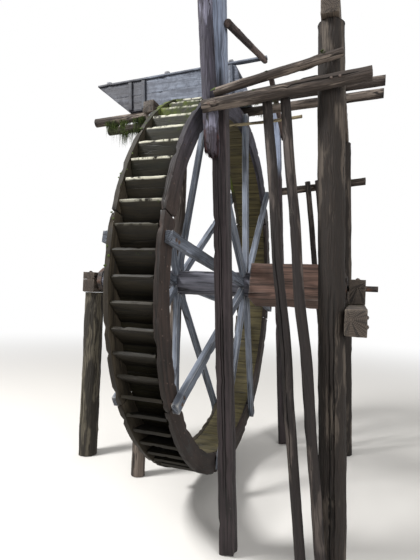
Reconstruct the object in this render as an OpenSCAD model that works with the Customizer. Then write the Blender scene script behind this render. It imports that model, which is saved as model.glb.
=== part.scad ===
// Overshot water wheel of hewn timber, on posts, with the wooden flume that feeds it.
// X lies in the plane of the wheel, Y along its axle and Z up, with the origin on the ground under the wheel.

/* [Wheel] */
// Outer radius of the two timber rings
wheel_r = 2000; // [1800:10:2080]
// Height of the axle above the lowest ground
axle_h = 2200; // [2120:10:2300]
// Width of the wheel across the outer faces of both rings
rim_w = 458; // [380:2:500]
// Thickness of a ring, along the axle
ring_t = 50; // [35:1:70]
// Depth of a ring from its outer edge inwards
ring_depth = 200; // [170:5:260]
// Open joint between two ring segments
felloe_gap = 4; // [2:1:8]
// Angle of the first spoke above the horizontal
first_spoke = 30.4; // [0:0.1:44]

/* [Buckets] */
// Thickness of a bucket board
board_t = 30; // [20:1:40]
// Lean of a bucket board away from the spoke line
board_slope = 45; // [35:1:50]
// Thickness of the sole planks that close the buckets inside
sole_t = 25; // [18:1:32]
// Distance of the sole planks in from the inner edge of the rings
sole_inset = 5; // [3:1:15]
// Open joint between two sole planks
plank_gap = 4; // [2:1:8]

/* [Spokes] */
// Width of a spoke in the plane of the wheel
spoke_w = 90; // [70:1:95]
// Thickness of a spoke along the axle
spoke_t = 60; // [45:1:70]
// Distance of the spoke ends in from the outer edge of the ring
spoke_setback = 40; // [20:1:80]
// Unevenness of the spokes, set by hand: at 0 they are evenly spaced
spoke_uneven = 1; // [0:0.1:1]
// How far the hub ends of the near spokes stand out from their ring ends
near_dish = 75; // [0:5:90]
// How far the hub ends of the far spokes stand out from their ring ends
far_dish = 200; // [120:5:260]
// Length of the straight part of a spoke at the hub
hub_flat = 130; // [100:5:200]

/* [Axle] */
// Size of the axle across its flats, at the wheel
axle_flat = 270; // [260:1:310]
// Side of the squared butt at the near end
butt_side = 400; // [340:5:430]
// Distance from the wheel's middle plane to the start of the squared butt
butt_start = 430; // [400:5:600]
// Radius of the iron gudgeons in their bearings
gudgeon_r = 35; // [25:1:45]
// Radius of the free end of the near gudgeon
stub_r = 30; // [20:1:34]
// Length of the free end of the near gudgeon
stub_l = 120; // [60:5:125]
// Radius of the iron plate on each end of the axle
plate_r = 120; // [90:5:130]
// Thickness of that plate
plate_t = 20; // [12:1:30]
// Running clearance of the gudgeons in their bearings
run_gap = 0.05; // [0.02:0.01:0.1]
// Width of the iron hoops round the ends of the axle
hoop_w = 60; // [40:5:90]
// Thickness of the iron hoops
hoop_t = 8; // [5:1:12]

/* [Bearings] */
// Width of a bearing along the axle
bearing_w = 160; // [120:5:170]
// Length of a bearing across the axle
bearing_l = 300; // [220:10:360]
// Height of a bearing block under the middle of the axle
block_h = 160; // [140:5:190]
// Height of a bearing cap over the middle of the axle
cap_h = 90; // [70:5:120]
// Free space between a bearing and the plate on the axle's end
bearing_gap = 20; // [10:1:30]
// Distance of the near bearing's outer face from the wheel's middle plane
near_bearing_y = 1620; // [1600:5:1625]
// Distance of the far bearing's outer face from the wheel's middle plane
far_bearing_y = 1700; // [1680:5:1720]
// Height of the beam under the near bearing
bearing_beam_h = 200; // [160:5:240]

/* [Posts] */
// Side of the two squared posts beside the wheel
post_w = 130; // [110:1:140]
// Distance of the left squared post from the axle line
left_post_x = 1300; // [1290:5:1340]
// Place of the squared posts' feet in front of the wheel's middle plane
post_foot_y = 615; // [600:5:700]
// Lean of the squared posts towards the wheel
post_lean = 3.4; // [2:0.1:3.6]
// How far the squared posts stand up past the flume's underside
post_rise = 438; // [340:2:600]
// Radius of the tall round posts
tall_r = 105; // [90:1:120]
// Place of the tall posts' feet in front of the wheel's middle plane
tall_foot_y = 1435; // [1420:5:1450]
// Lean of the tall posts towards the wheel
tall_lean = 1.95; // [1:0.05:2.5]
// Radius of the broken round log on the left squared post
broken_r = 67; // [55:1:70]
// Height of that log's broken end over the axle
broken_rise = 980; // [950:5:1100]
// How far the broken end stands in from the middle of the squared post
broken_foot_in = 30; // [20:1:35]
// How far the top of that log stands in from the middle of the squared post
broken_top_in = 80; // [40:1:85]
// How far the top of that log stays below the top of the squared post
broken_short = 60; // [20:5:120]
// Slant of the break, in degrees
broken_slant = 30; // [10:1:40]
// Radius of the round logs that tie the posts together
tie_r = 55; // [45:1:65]
// Height of the tie logs' wheel ends, below the top of the wheel
tie_drop = 615; // [500:5:700]
// Rise of the tie logs to their outer ends
tie_rise = 115; // [60:5:150]
// Place of the tie logs' wheel ends in front of the wheel's middle plane
tie_start_y = 330; // [300:5:400]
// Length of the tie logs, measured along the axle
tie_l = 1270; // [1200:5:1350]
// Radius of the second log on the left tie log
upper_r = 38; // [28:1:45]
// Place of that log's lower end in front of the wheel's middle plane
upper_start_y = 430; // [390:5:500]
// Length of that log
upper_l = 1000; // [900:10:1100]
// Slope of that log, in degrees
upper_slope = 11; // [6:0.5:14]
// Radius of the thin rail on the left squared post
rail_r = 14; // [10:1:20]
// Height of that rail's wheel end, below the top of the wheel
rail_drop = 655; // [600:5:750]
// Rise of that rail to its outer end
rail_rise = 25; // [0:5:60]
// Length of that rail, measured along the axle
rail_l = 670; // [500:10:800]
// Radius of the props under the tie logs
prop_r = 42; // [32:1:46]
// Place of the first prop's head in front of the wheel's middle plane
prop_top_y = 830; // [780:5:900]
// Distance between the two props of a pair
prop_spacing = 140; // [110:5:160]
// How far the feet of the props stand out, away from the wheel
prop_rake = 420; // [350:5:440]
// How far the feet of the props stand out to the side
prop_splay = 160; // [150:5:200]
// How far the props reach up past the middle of the tie logs
prop_over = 75; // [50:5:120]
// Radius of the far round posts
far_post_r = 80; // [65:1:95]
// Distance of the left far post from the axle line
far_left_x = 300; // [295:5:360]
// Distance of the right far post from the axle line
far_right_x = 600; // [500:10:700]
// Place of the far round posts behind the wheel's middle plane
far_post_y = 750; // [650:10:850]
// Radius of the stout post under the far bearing
stump_r = 120; // [100:1:128]
// Side of the head beams that carry the bearer logs
head_w = 140; // [110:5:170]
// How far the beams reach past the posts that they join
beam_over = 50; // [20:5:80]

/* [Flume] */
// Fall of the flume and its bearers away from the near side, in degrees
flume_fall = 2.5; // [1:0.1:3.5]
// Free height between the wheel and the flume's underside, over the wheel's middle
flume_gap = 162; // [155:1:250]
// Outside width of the flume
flume_w = 450; // [380:5:520]
// Height of the flume's sides
side_h = 375; // [300:5:430]
// Thickness of the flume's boards
flume_board_t = 30; // [22:1:38]
// Place of the near end of the flume's sides at their foot
flume_near_y = 250; // [220:5:300]
// Place of the far end of the flume's sides at their foot
flume_far_y = 1240; // [1150:5:1260]
// How far the far ends of the sides reach further out at their top
flume_beak = 440; // [300:5:460]
// How far the near ends of the sides stand back at their top
flume_slant = 100; // [60:5:140]
// Width of the spreaders between the sides, along the flume
spreader_w = 60; // [40:5:80]
// Thickness of the spreaders
spreader_t = 25; // [18:1:32]
// How far the spreaders reach past the sides
spreader_over = 20; // [10:2:40]
// Distance of the outer spreaders from the ends of the sides
spreader_inset = 160; // [140:5:220]
// Thickness of the cap boards on the flume's sides
cap_board_t = 25; // [18:1:32]
// Width of the cap boards
cap_board_w = 70; // [50:1:90]
// How far the cap boards reach past the cross poles that hold them up
cap_reach = 60; // [45:5:100]
// Radius of the two bearer logs
bearer_r = 55; // [48:1:60]
// Distance of the bearer logs from the sides of the flume
bearer_inset = 15; // [5:1:30]
// Distance of the ends of the bearer logs from the wheel's middle plane
bearer_reach = 1750; // [1740:5:1800]
// Depth of the hewn flats and notches on the bearer logs
bearer_flat = 8; // [5:1:12]
// Length of the outlet slot in the flume's floor, along the axle
outlet_l = 340; // [240:10:400]
// Width of the outlet slot
outlet_w = 110; // [80:5:150]
// Radius of the cross poles from the squared posts to the flume
cross_r = 35; // [28:1:40]
// How far below the flume's underside the cross poles start
cross_drop = 12; // [0:2:60]

/* [Hidden] */
$fn = 96;

// Timbers that meet on curved faces stay this far apart
seat_gap = 0.3;
// The props are trimmed with the axe to this many flats
prop_sides = 12;
spoke_count = 8;
// Angles by which the spokes stand off their even places
spoke_shifts = [12.6, 12.6, 9.1, 5.6, 0, 0.6, -1.4, 4.6];
buckets_per_bay = 8;
bay = 360 / spoke_count;
pitch = bay / buckets_per_bay;
sole_bays = 2;
// Poles are made longer by this share, and then cut to their seats
spare = 0.05;
// Reach of the solids that only cut others
far_out = 2 * wheel_r;

wheel_top = axle_h + wheel_r;
flume_z = wheel_top + flume_gap;
tie_z = wheel_top - tie_drop;
rail_z = wheel_top - rail_drop;
post_top = flume_z + post_rise;
ring_in_r = wheel_r - ring_depth;
near_face = -rim_w / 2;
far_face = rim_w / 2;
spoke_end_r = wheel_r - spoke_setback;
sole_in = ring_in_r + sole_inset;
sole_out = sole_in + sole_t;
lip_r = wheel_r - board_t / 2;
root_shift = atan2((lip_r - sole_out) * tan(board_slope), sole_out);
board_l = (lip_r - sole_out) / cos(board_slope) + 2 * board_t;

near_axle_y = -near_bearing_y + bearing_w + bearing_gap + plate_t;
far_axle_y = far_bearing_y - bearing_w - bearing_gap - plate_t;
bearing_seat_z = axle_h - block_h;

post_slope = tan(post_lean);
tall_slope = tan(tall_lean);
left_tie_x = left_post_x + post_w / 2 + 2 * broken_r + tie_r + 2 * seat_gap;
right_post_x = left_tie_x - tie_r - post_w / 2 - seat_gap;
tall_x = left_tie_x - tie_r - tall_r - seat_gap;
prop_x = left_tie_x - tie_r - prop_r - seat_gap;

bearer_axis = bearer_flat - bearer_r;
bearer_left_x = bearer_r + bearer_inset;
bearer_right_x = flume_w - bearer_r - bearer_inset;
function bearer_under(y) = flume_z - y * tan(flume_fall) + (bearer_axis - bearer_r) / cos(flume_fall);
near_head_y = tall_foot_y - tall_slope * (flume_z - bearer_r * 2);
near_head_top = bearer_under(-near_head_y) + bearer_flat;
far_head_top = bearer_under(far_post_y) + bearer_flat;

// The cross poles lie on the near faces of the squared posts, at this height
cross_low_z = flume_z - cross_drop;
cross_y = -post_foot_y + cross_low_z * post_slope - (post_w / 2 + cross_r) / cos(post_lean) - seat_gap;

// Colours of the finishes
wet_wood = "#4a3b2f";
mossy_wood = "#4c4a2a";
grey_wood = "#6f6a72";
bark_wood = "#5b4a42";
pale_wood = "#a08f7c";
iron = "#4b3a33";

// Plane shapes of the wheel, drawn in X and Z, become solids from y0 on
module in_wheel(y0, w) {
  translate([0, y0 + w, axle_h]) rotate([90, 0, 0]) linear_extrude(w) children();
}

// A bay between two spokes, kept clear of the joints at its ends
module bay_wedge() {
  reach = 2 * wheel_r;
  half = bay / 2;
  rotate(half) translate([felloe_gap / 2 / sin(half), 0])
    polygon([[0, 0], [reach * cos(half), -reach * sin(half)], [reach * cos(half), reach * sin(half)]]);
}

module ring_segments(y0) {
  for (i = [0 : spoke_count - 1])
    in_wheel(y0, ring_t)
      intersection() {
        difference() {
          circle(wheel_r);
          circle(ring_in_r);
        }
        rotate(first_spoke + i * bay) bay_wedge();
      }
}

module near_ring() {
  color(wet_wood) ring_segments(near_face);
}

module far_ring() {
  color(wet_wood) ring_segments(far_face - ring_t);
}

// Side profile of a spoke that lies on a ring's face, with its distance from the axle along X
module spoke_profile(face, dish) {
  hub_r = axle_flat / 4;
  bend_r = axle_flat / 2 + hub_flat;
  polygon([
    [spoke_end_r, face], [ring_in_r, face],
    [bend_r, face + dish], [hub_r, face + dish],
    [hub_r, face + dish + spoke_t], [bend_r, face + dish + spoke_t],
    [ring_in_r, face + spoke_t], [spoke_end_r, face + spoke_t]
  ]);
}

// Eight spokes that bow out towards the hub; their feet are cut to the flats of the axle
module spokes(face, dish) {
  for (i = [0 : spoke_count - 1])
    difference() {
      translate([0, 0, axle_h])
        rotate([0, -first_spoke - i * bay - spoke_uneven * spoke_shifts[i], 0])
          translate([0, 0, -spoke_w / 2])
            linear_extrude(spoke_w) spoke_profile(face, dish);
      in_wheel(-wheel_r, 2 * wheel_r) axle_section(axle_flat + 2 * seat_gap);
    }
}

module near_spokes() {
  color(grey_wood) mirror([0, 1, 0]) spokes(-near_face, near_dish);
}

module far_spokes() {
  color(grey_wood) spokes(far_face, far_dish);
}

// Outline of the seats on the sole's outer faces, on which the bucket boards stand
module sole_outline() {
  corner_r = (sole_out + seat_gap) / cos(pitch / 2);
  polygon([for (i = [0 : spoke_count * buckets_per_bay - 1])
    let (a = first_spoke + root_shift + (i + 1) * pitch) corner_r * [cos(a), sin(a)]]);
}

// One bucket board: its lip is at the ring's edge, its root on the sole
module bucket_board(angle) {
  difference() {
    rotate(angle) translate([lip_r, 0]) rotate(180 - board_slope)
      translate([0, -board_t / 2]) square([board_l, board_t]);
    sole_outline();
  }
}

module bucket_bay(n) {
  color(mossy_wood)
    for (k = [0 : buckets_per_bay - 1])
      in_wheel(near_face + ring_t, rim_w - 2 * ring_t)
        bucket_board(first_spoke + (n - 1) * bay + (k + 0.5) * pitch);
}

module sole_part(n) {
  plank_w = 2 * sole_in * tan(pitch / 2) - plank_gap;
  color(mossy_wood)
    for (k = [0 : sole_bays * buckets_per_bay - 1])
      in_wheel(near_face + ring_t, rim_w - 2 * ring_t)
        rotate(first_spoke + root_shift + (n - 1) * sole_bays * bay + (k + 0.5) * pitch)
          translate([sole_in, -plank_w / 2]) square([sole_t, plank_w]);
}

// Eight-sided section of the axle at the wheel
module axle_section(flat) {
  rotate(first_spoke + bay / 2) circle(flat / 2 / cos(bay / 2), $fn = spoke_count);
}

module butt_section(side) {
  rotate(first_spoke + bay) square(side, center = true);
}

module axle() {
  color(grey_wood) {
    in_wheel(-butt_start, butt_start + far_axle_y) axle_section(axle_flat);
    in_wheel(near_axle_y, -butt_start - near_axle_y) butt_section(butt_side);
  }
}

module axle_hoops() {
  color(iron) {
    in_wheel(near_axle_y, hoop_w)
      difference() {
        butt_section(butt_side + 2 * hoop_t);
        butt_section(butt_side);
      }
    in_wheel(far_axle_y - hoop_w, hoop_w)
      difference() {
        axle_section(axle_flat + 2 * hoop_t);
        axle_section(axle_flat);
      }
  }
}

module near_gudgeon() {
  color(iron) {
    in_wheel(near_axle_y - plate_t, plate_t) circle(plate_r);
    in_wheel(-near_bearing_y, near_bearing_y + near_axle_y - plate_t) circle(gudgeon_r);
    in_wheel(-near_bearing_y - stub_l, stub_l) circle(stub_r);
  }
}

module far_gudgeon() {
  color(iron) {
    in_wheel(far_axle_y, plate_t) circle(plate_r);
    in_wheel(far_axle_y + plate_t, bearing_gap + bearing_w + bearing_gap) circle(gudgeon_r);
  }
}

// Lower half of a bearing, from y0 on
module bearing_block(y0) {
  color(bark_wood)
    in_wheel(y0, bearing_w)
      difference() {
        translate([-bearing_l / 2, -block_h]) square([bearing_l, block_h]);
        circle(gudgeon_r + run_gap);
      }
}

// Upper half of a bearing, from y0 on
module bearing_cap(y0) {
  color(bark_wood)
    in_wheel(y0, bearing_w)
      difference() {
        translate([-bearing_l / 2, 0]) square([bearing_l, cap_h]);
        circle(gudgeon_r + run_gap);
      }
}

module near_bearing_block() {
  bearing_block(-near_bearing_y);
}

module near_bearing_cap() {
  bearing_cap(-near_bearing_y);
}

module far_bearing_block() {
  bearing_block(far_bearing_y - bearing_w);
}

module far_bearing_cap() {
  bearing_cap(far_bearing_y - bearing_w);
}

// Cuts what leans or slopes to plumb and level ends
module cut_level(z0, z1) {
  intersection() {
    children();
    translate([-far_out, -far_out, z0]) cube([2 * far_out, 2 * far_out, z1 - z0]);
  }
}

// A pole between two points, round or with flat sides
module pole(p, q, r, sides = $fn) {
  d = q - p;
  translate(p) rotate([0, acos(d.z / norm(d)), atan2(d.y, d.x)]) cylinder(h = norm(d), r = r, $fn = sides);
}

// A squared post that leans towards the wheel, at a side of the axle line
module squared_post(x) {
  color(bark_wood)
    cut_level(0, post_top)
      translate([x, -post_foot_y, 0]) rotate([-post_lean, 0, 0])
        translate([-post_w / 2, -post_w / 2, -post_w]) cube([post_w, post_w, post_top + 2 * post_w]);
}

module left_squared_post() {
  squared_post(-left_post_x);
}

module right_squared_post() {
  squared_post(right_post_x);
}

// The log hangs on the outer face of the left squared post, and its foot is broken off
module broken_log() {
  x = -left_post_x - post_w / 2 - broken_r - seat_gap;
  foot_z = axle_h + broken_rise;
  foot_y = -post_foot_y + foot_z * post_slope + broken_foot_in;
  top_y = -post_foot_y + post_top * post_slope + broken_top_in;
  color(bark_wood)
    difference() {
      pole([x, foot_y, foot_z], [x, top_y, post_top - broken_short], broken_r);
      translate([x, foot_y, foot_z]) rotate([broken_slant, 0, 0])
        translate([-2 * broken_r, -2 * broken_r, -2 * broken_r]) cube([4 * broken_r, 4 * broken_r, 2 * broken_r]);
    }
}

// The rail is nailed to the inner face of the left squared post
module left_rail() {
  x = -left_post_x + post_w / 2 + rail_r + seat_gap;
  y = -post_foot_y + rail_z * post_slope;
  color(pale_wood)
    pole([x, y, rail_z], [x, y - rail_l, rail_z + rail_rise], rail_r);
}

module tie_log(side) {
  x = side * left_tie_x;
  color(bark_wood)
    pole([x, -tie_start_y, tie_z], [x, -tie_start_y - tie_l, tie_z + tie_rise], tie_r);
}

// A thinner log starts on top of the left tie log and climbs away from it
module upper_log() {
  tie_slope = atan(tie_rise / tie_l);
  tie_top = tie_z + (upper_start_y - tie_start_y) * tan(tie_slope) + tie_r / cos(tie_slope);
  color(bark_wood)
    translate([-left_tie_x, -upper_start_y, tie_top + seat_gap]) rotate([90 - upper_slope, 0, 0])
      translate([0, upper_r, 0]) cylinder(h = upper_l, r = upper_r);
}

module left_tie_log() {
  tie_log(-1);
  upper_log();
}

module right_tie_log() {
  tie_log(1);
}

// Two props stand on the ground side by side and hold a tie log from its inner side
module props(side) {
  color(bark_wood)
    cut_level(0, post_top)
      for (shift = [0, prop_spacing]) {
        top_y = -prop_top_y - shift;
        high = [side * prop_x, top_y, tie_z + tie_rise * (-top_y - tie_start_y) / tie_l];
        low = [side * (prop_x + prop_splay), top_y - prop_rake, 0];
        run = high - low;
        pole(low - run * spare, high + run / norm(run) * prop_over, prop_r, prop_sides);
      }
}

module left_props() {
  props(-1);
}

module right_props() {
  props(1);
}

module near_bearing_beam_box() {
  beam_l = 2 * (tall_x + tall_r + beam_over);
  translate([-beam_l / 2, -near_bearing_y, bearing_seat_z - bearing_beam_h])
    cube([beam_l, bearing_w, bearing_beam_h]);
}

module near_head_beam_box() {
  beam_l = 2 * (tall_x + tall_r + beam_over);
  translate([-beam_l / 2, -near_head_y - head_w / 2, near_head_top - head_w])
    cube([beam_l, head_w, head_w]);
}

module far_head_beam_box() {
  past_post = far_post_r + beam_over;
  translate([-far_left_x - past_post, far_post_y - head_w / 2, far_head_top - head_w])
    cube([far_left_x + far_right_x + 2 * past_post, head_w, head_w]);
}

// A tall round post, notched where the bearing beam crosses it
module tall_post(side) {
  color(bark_wood)
    difference() {
      cut_level(0, near_head_top - head_w)
        translate([side * tall_x, -tall_foot_y, 0]) rotate([-tall_lean, 0, 0])
          translate([0, 0, -tall_r]) cylinder(h = near_head_top + tall_r, r = tall_r);
      near_bearing_beam_box();
    }
}

module left_tall_post() {
  tall_post(-1);
}

module right_tall_post() {
  tall_post(1);
}

module near_bearing_beam() {
  color(bark_wood) near_bearing_beam_box();
}

module near_head_beam() {
  color(bark_wood) near_head_beam_box();
}

module far_head_beam() {
  color(bark_wood) far_head_beam_box();
}

module far_post(x) {
  color(bark_wood)
    translate([x, far_post_y, 0]) cylinder(h = far_head_top - head_w, r = far_post_r);
}

module left_far_post() {
  far_post(-far_left_x);
}

module right_far_post() {
  far_post(far_right_x);
}

module far_bearing_post() {
  color(pale_wood)
    translate([0, far_bearing_y - bearing_w / 2, 0]) cylinder(h = bearing_seat_z, r = stump_r);
}

// Frame of the flume: Z is square to its floor, and Z = 0 is the floor's underside
module on_flume() {
  translate([0, 0, flume_z]) rotate([-flume_fall, 0, 0]) children();
}

// A bearer log: hewn flat under the flume and notched over both head beams
module bearer_log(x) {
  reach = bearer_reach / cos(flume_fall) + bearer_r;
  color(bark_wood)
    difference() {
      intersection() {
        on_flume()
          difference() {
            translate([x, reach, bearer_axis]) rotate([90, 0, 0]) cylinder(h = 2 * reach, r = bearer_r);
            translate([x - bearer_r, -reach, 0]) cube([2 * bearer_r, 2 * reach, bearer_r]);
          }
        translate([x - bearer_r, -bearer_reach, 0]) cube([2 * bearer_r, 2 * bearer_reach, 2 * flume_z]);
      }
      near_head_beam_box();
      far_head_beam_box();
    }
}

module left_bearer_log() {
  bearer_log(bearer_left_x);
}

module right_bearer_log() {
  bearer_log(bearer_right_x);
}

module flume_floor() {
  inside_w = flume_w - 2 * flume_board_t;
  color(wet_wood)
    on_flume()
      difference() {
        translate([flume_board_t, -flume_near_y, 0])
          cube([inside_w, flume_near_y + flume_far_y, flume_board_t]);
        translate([bearer_left_x + bearer_r, -outlet_l / 2, -flume_board_t])
          cube([outlet_w, outlet_l, 3 * flume_board_t]);
      }
}

// A side of the flume, cut to a beak at its far end
module flume_side(x) {
  color(grey_wood)
    on_flume()
      translate([x, 0, 0]) rotate([90, 0, 90])
        linear_extrude(flume_board_t)
          polygon([
            [-flume_near_y, 0], [flume_far_y, 0],
            [flume_far_y + flume_beak, side_h], [-flume_near_y + flume_slant, side_h]
          ]);
}

// The cap board along the top of a side, which reaches out to the cross pole
module cap_board(x) {
  color(grey_wood)
    on_flume()
      translate([x - cap_board_w / 2, cross_y - cap_reach, side_h + seat_gap])
        cube([cap_board_w, cap_reach - cross_y + flume_far_y + flume_beak, cap_board_t]);
}

module flume_left_side() {
  flume_side(0);
  cap_board(flume_board_t / 2);
}

module flume_right_side() {
  flume_side(flume_w - flume_board_t);
  cap_board(flume_w - flume_board_t / 2);
}

// Spreaders keep the sides apart, on top of the cap boards
module flume_spreaders() {
  first_y = -flume_near_y + spreader_inset;
  last_y = flume_far_y + flume_beak - spreader_inset;
  color(grey_wood)
    on_flume()
      for (y = [first_y, (first_y + last_y) / 2, last_y])
        translate([-spreader_over, y - spreader_w / 2, side_h + cap_board_t + 2 * seat_gap])
          cube([flume_w + 2 * spreader_over, spreader_w, spreader_t]);
}

// A cross pole from a squared post up to a cap board, cut flush under it
module cross_pole(side, post_x, cap_x) {
  cap_z = flume_z - cross_y * tan(flume_fall) + side_h / cos(flume_fall);
  low = [side * (post_x + post_w / 2), cross_y, cross_low_z];
  high = [cap_x, cross_y, cap_z];
  color(pale_wood)
    difference() {
      pole(low, high + (high - low) * spare, cross_r);
      on_flume() translate([-wheel_r, -wheel_r, side_h]) cube([2 * wheel_r, 2 * wheel_r, wheel_r]);
    }
}

module left_cross_pole() {
  cross_pole(-1, left_post_x, flume_board_t / 2);
}

module right_cross_pole() {
  cross_pole(1, right_post_x, flume_w - flume_board_t / 2);
}

near_ring();
far_ring();
near_spokes();
far_spokes();
bucket_bay(1);  // buckets_1
bucket_bay(2);  // buckets_2
bucket_bay(3);  // buckets_3
bucket_bay(4);  // buckets_4
bucket_bay(5);  // buckets_5
bucket_bay(6);  // buckets_6
bucket_bay(7);  // buckets_7
bucket_bay(8);  // buckets_8
sole_part(1);  // sole_1
sole_part(2);  // sole_2
sole_part(3);  // sole_3
sole_part(4);  // sole_4
axle();
axle_hoops();
near_gudgeon();
far_gudgeon();
left_squared_post();
right_squared_post();
broken_log();
left_tie_log();
right_tie_log();
left_rail();
left_props();
right_props();
left_tall_post();
right_tall_post();
near_head_beam();
near_bearing_beam();
near_bearing_block();
near_bearing_cap();
left_far_post();
right_far_post();
far_head_beam();
far_bearing_post();
far_bearing_block();
far_bearing_cap();
left_bearer_log();
right_bearer_log();
flume_floor();
flume_left_side();
flume_right_side();
flume_spreaders();
left_cross_pole();
right_cross_pole();
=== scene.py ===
"""Looks of the overshot water wheel: hewn timbers, mossy bucket boards, old iron and the flume above."""

import math
import random

import bmesh
import bpy
from mathutils import Matrix, Vector, noise


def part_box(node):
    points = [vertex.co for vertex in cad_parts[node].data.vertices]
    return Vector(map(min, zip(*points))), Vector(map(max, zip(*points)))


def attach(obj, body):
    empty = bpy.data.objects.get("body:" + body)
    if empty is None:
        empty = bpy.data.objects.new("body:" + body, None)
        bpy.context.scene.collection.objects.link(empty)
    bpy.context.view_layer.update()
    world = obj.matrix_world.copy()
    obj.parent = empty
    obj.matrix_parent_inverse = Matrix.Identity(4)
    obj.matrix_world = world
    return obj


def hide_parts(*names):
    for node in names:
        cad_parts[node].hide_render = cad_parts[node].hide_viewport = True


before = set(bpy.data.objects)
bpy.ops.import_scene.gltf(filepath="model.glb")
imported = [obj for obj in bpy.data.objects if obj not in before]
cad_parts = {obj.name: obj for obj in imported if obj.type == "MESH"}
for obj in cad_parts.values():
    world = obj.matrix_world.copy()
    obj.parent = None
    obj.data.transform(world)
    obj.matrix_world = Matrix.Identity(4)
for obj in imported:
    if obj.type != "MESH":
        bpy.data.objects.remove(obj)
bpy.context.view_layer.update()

# Sizes and places in metres: those of the wheel and its rings are read from the frame
RING_LOW, RING_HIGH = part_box("near_ring")
FAR_RING_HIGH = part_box("far_ring")[1]
WHEEL_R = (RING_HIGH.x - RING_LOW.x) / 2
HUB = Vector((0, 0, (RING_HIGH.z + RING_LOW.z) / 2))
BAY_COUNT = 8
RING_DEPTH = 0.200
SPOKE_T = 0.060
BUTT_START = -0.430
FLUME_Z = 4.362
FLUME_FALL = math.radians(2.5)
FLUME_WALL = 0.030
FLOOR_JOINTS = (0.090, 0.180, 0.300)
SIDE_JOINT = 0.196
JOINT_GAP = 0.001
BATTENS = (-0.09, 1.03, 1.22)
TIE_R = 0.055
TIE_START_Y = -0.330
TIE_SLOPE = 0.0906
TIE_SPIKES = (-0.40, -0.45, -1.32, -1.38)
POST_X = 1.40

# Moss hangs from the bearer logs from MOSS_START to MOSS_END, short within WHEEL_SIDE, over the wheel
MOSS_START = -0.60
MOSS_END = 1.60
WHEEL_SIDE = 0.34
SHORT_MOSS = 0.022

# The camera that the picture was taken with: its place, its turn off the wheel's plane, its rise and roll
CAMERA_PLACE = Vector((-4.765, -1.550, 2.150))
CAMERA_TURN = math.radians(18.88)
CAMERA_RISE = math.radians(1.03)
CAMERA_ROLL = math.radians(2.21)
FOCAL_PX = 435
PICTURE_H = 560
SENSOR = 36

# Points closer than MERGE are one, faces that turn less than FLAT are one, and an edge past SHARP is sharp
MERGE = 0.00002
FLAT = math.radians(1)
SHARP = math.radians(34)

ALONG_X = Vector((1, 0, 0))
ALONG_Y = Vector((0, 1, 0))
ALONG_Z = Vector((0, 0, 1))
FLUME_UP = Vector((0, math.sin(FLUME_FALL), math.cos(FLUME_FALL)))
FLUME_RUN = Vector((0, math.cos(FLUME_FALL), -math.sin(FLUME_FALL)))


# Shader nodes

def paint(code):
    """A colour written as #rrggbb, as the shader needs it."""
    parts = [int(code[i:i + 2], 16) / 255 for i in (1, 3, 5)]
    return tuple(c / 12.92 if c <= 0.04045 else ((c + 0.055) / 1.055) ** 2.4 for c in parts) + (1,)


def linked(value):
    return isinstance(value, bpy.types.NodeSocket)


def shade_node(kind, inputs, tree=None, **settings):
    """A shader node with its settings, in the tree of the sockets that it reads where none is given. Each
    input is linked, or filled with a value or a #rrggbb colour."""
    tree = tree or next(value.id_data for value in inputs.values() if linked(value))
    made = tree.nodes.new("ShaderNode" + kind)
    for key, value in settings.items():
        setattr(made, key, value)
    for key, value in inputs.items():
        if linked(value):
            tree.links.new(value, made.inputs[key])
        else:
            made.inputs[key].default_value = paint(value) if isinstance(value, str) else value
    return made


def cloudy(vector, scale, detail=4, rough=0.55, bend=0.0):
    inputs = {"Vector": vector, "Scale": scale, "Detail": detail, "Roughness": rough, "Distortion": bend}
    return shade_node("TexNoise", inputs).outputs[0]


def stretched(wood, along, across):
    """The place in the wood, scaled along the grain and across it."""
    inputs = {"Vector": wood, "Scale": (along, across, across)}
    return shade_node("Mapping", inputs).outputs[0]


def streaky(wood, along, across, **look):
    """Noise drawn out along the grain."""
    return cloudy(stretched(wood, along, across), 1, **look)


def sums(operation, a, b=0.0, c=0.0, clamp=False):
    inputs = {0: a, 1: b, 2: c}
    return shade_node("Math", inputs, operation=operation, use_clamp=clamp).outputs[0]


def added(*parts):
    """Sum of values, each with its weight."""
    total = 0.0
    for value, weight in parts:
        total = sums("MULTIPLY_ADD", value, weight, total)
    return total


def ramped(value, low, high, out_low=0.0, out_high=1.0):
    """Value taken from the range low..high to out_low..out_high, with soft ends."""
    inputs = {0: value, 1: low, 2: high, 3: out_low, 4: out_high}
    return shade_node("MapRange", inputs, interpolation_type="SMOOTHSTEP").outputs[0]


def blended(share, a, b):
    """Two colours mixed."""
    return shade_node("Mix", {0: share, 6: a, 7: b}, data_type="RGBA").outputs[2]


def mixed(share, a, b):
    """Two values mixed."""
    return shade_node("Mix", {0: share, 2: a, 3: b}, data_type="FLOAT").outputs[0]


def vectors(operation, *given, out=0):
    """Vector maths."""
    return shade_node("VectorMath", dict(enumerate(given)), operation=operation).outputs[out]


def axes(vector):
    """A vector's x, y and z."""
    return shade_node("SeparateXYZ", {0: vector}).outputs


VALUE = "NodeSocketFloat"
COLOUR = "NodeSocketColor"
VECTOR = "NodeSocketVector"


def shade_group(name, takes, gives):
    """An empty shader group with its sockets: returns its tree, its inputs and its outputs."""
    tree = bpy.data.node_groups.new(name, "ShaderNodeTree")
    for way, sockets in (("INPUT", takes), ("OUTPUT", gives)):
        for label, kind in sockets.items():
            tree.interface.new_socket(name=label, in_out=way, socket_type=kind)
    return tree, tree.nodes.new("NodeGroupInput").outputs, tree.nodes.new("NodeGroupOutput").inputs


def swayed(vector, scale, amount):
    """The same place, pushed about by slow noise, so that straight patterns wander."""
    inputs = {"Vector": vector, "Scale": scale, "Detail": 2}
    push = shade_node("TexNoise", inputs).outputs[1]
    centred = vectors("SUBTRACT", push, (0.5, 0.5, 0.5))
    return vectors("MULTIPLY_ADD", centred, (amount, amount, amount), vector)


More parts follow.
